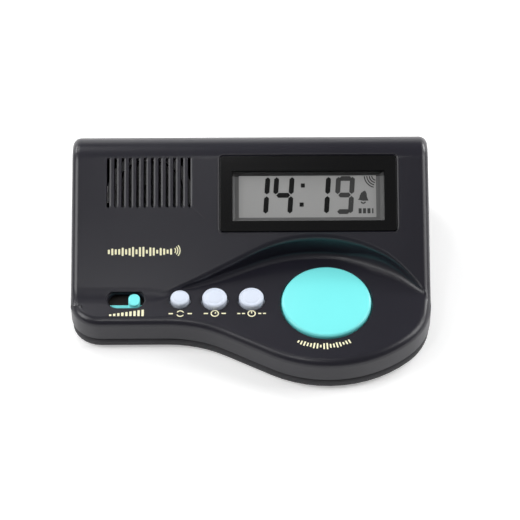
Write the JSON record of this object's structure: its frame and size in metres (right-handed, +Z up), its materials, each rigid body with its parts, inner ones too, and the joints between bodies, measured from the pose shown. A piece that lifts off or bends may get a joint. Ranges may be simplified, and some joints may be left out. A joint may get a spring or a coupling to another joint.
{
  "type": "talking clock",
  "caption": "Talking desk clock with a sloping face, liquid crystal display, speaker grille, round talk button on a front lobe, small round keys and a volume slider.",
  "frame": {"origin": "on the table, under the middle of the clock's outline, in the plane of the underside of its feet", "axes": "+X to the right seen from the user, along the length; +Y to the back wall; +Z up"},
  "size_m": [0.13, 0.092, 0.0406],
  "materials": {
    "case_black": "satin moulded, near-black",
    "base_black": "fine matt texture, near-black",
    "foot_rubber": "matt",
    "screw_steel": "zinc plated",
    "lens": "clear window in a printed dark border",
    "lcd_film": "grey polarising film",
    "lcd_glass": "clear",
    "frame_plastic": "natural white moulding",
    "strip_rubber": "silicone with carbon layers",
    "board_green": "solder mask on laminate",
    "chip_black": "moulded epoxy",
    "capacitor_sleeve": "shrink sleeve",
    "speaker_steel": "plated pressed steel",
    "magnet": "yoke cup, dull",
    "cone_film": "pressed plastic film",
    "lead_red": "insulated wire",
    "ribbon_grey": "flat cable",
    "turquoise": "satin gloss, turquoise",
    "key_pale": "satin, pale lavender white",
    "cell_steel": "printed sleeve, bare of words",
    "contact_nickel": "nickel plated spring steel"
  },
  "bodies": {
    "root": {"top_shell": "case_black", "base_shell": "base_black", "rubber_feet": "foot_rubber", "case_screws": "screw_steel", "display_lens": "lens", "lcd_front_film": "lcd_film", "lcd_front_glass": "lcd_glass", "lcd_rear_glass": "lcd_glass", "lcd_reflector": "lcd_film", "lcd_frame": "frame_plastic", "contact_strip": "strip_rubber", "display_board": "board_green", "display_board_screws": "screw_steel", "sound_chip": "chip_black", "clock_crystal": "screw_steel", "capacitor": "capacitor_sleeve", "speaker_frame": "speaker_steel", "speaker_magnet": "magnet", "speaker_cone": "cone_film", "speaker_clamps": "screw_steel", "speaker_screws": "screw_steel", "speaker_leads": "lead_red", "key_board": "board_green", "key_board_screws": "screw_steel", "ribbon_cable": "ribbon_grey", "switch_bodies": "chip_black", "volume_switch": "chip_black", "battery_front": "cell_steel", "battery_rear": "cell_steel", "battery_plates": "contact_nickel", "battery_springs": "contact_nickel", "battery_leads": "lead_red"},
    "mode": {"mode_key": "key_pale", "mode_plunger": "frame_plastic"},
    "hour": {"hour_key": "key_pale", "hour_plunger": "frame_plastic"},
    "minute": {"minute_key": "key_pale", "minute_plunger": "frame_plastic"},
    "talk": {"talk_button": "turquoise", "talk_plunger": "frame_plastic"},
    "volume": {"volume_knob": "turquoise", "volume_slider": "frame_plastic"},
    "door": {"battery_door": "base_black"}
  },
  "joints": [
    {"name": "mode_press", "type": "slide", "parent": "root", "child": "mode", "axis": [0, 0, -1], "range_m": [0, 0.0005], "stiffness_N_per_m": 2000},
    {"name": "hour_press", "type": "slide", "parent": "root", "child": "hour", "axis": [0, 0, -1], "range_m": [0, 0.0005], "stiffness_N_per_m": 2000},
    {"name": "minute_press", "type": "slide", "parent": "root", "child": "minute", "axis": [0, 0, -1], "range_m": [0, 0.0005], "stiffness_N_per_m": 2000},
    {"name": "talk_press", "type": "slide", "parent": "root", "child": "talk", "axis": [0, 0, -1], "range_m": [0, 0.001], "stiffness_N_per_m": 1500},
    {"name": "volume_slide", "type": "slide", "parent": "root", "child": "volume", "axis": [-1, 0, 0], "range_m": [0, 0.0058]},
    {"name": "door_slide", "type": "slide", "parent": "root", "child": "door", "axis": [0, 1, 0], "range_m": [0, 0.027]}
  ]
}
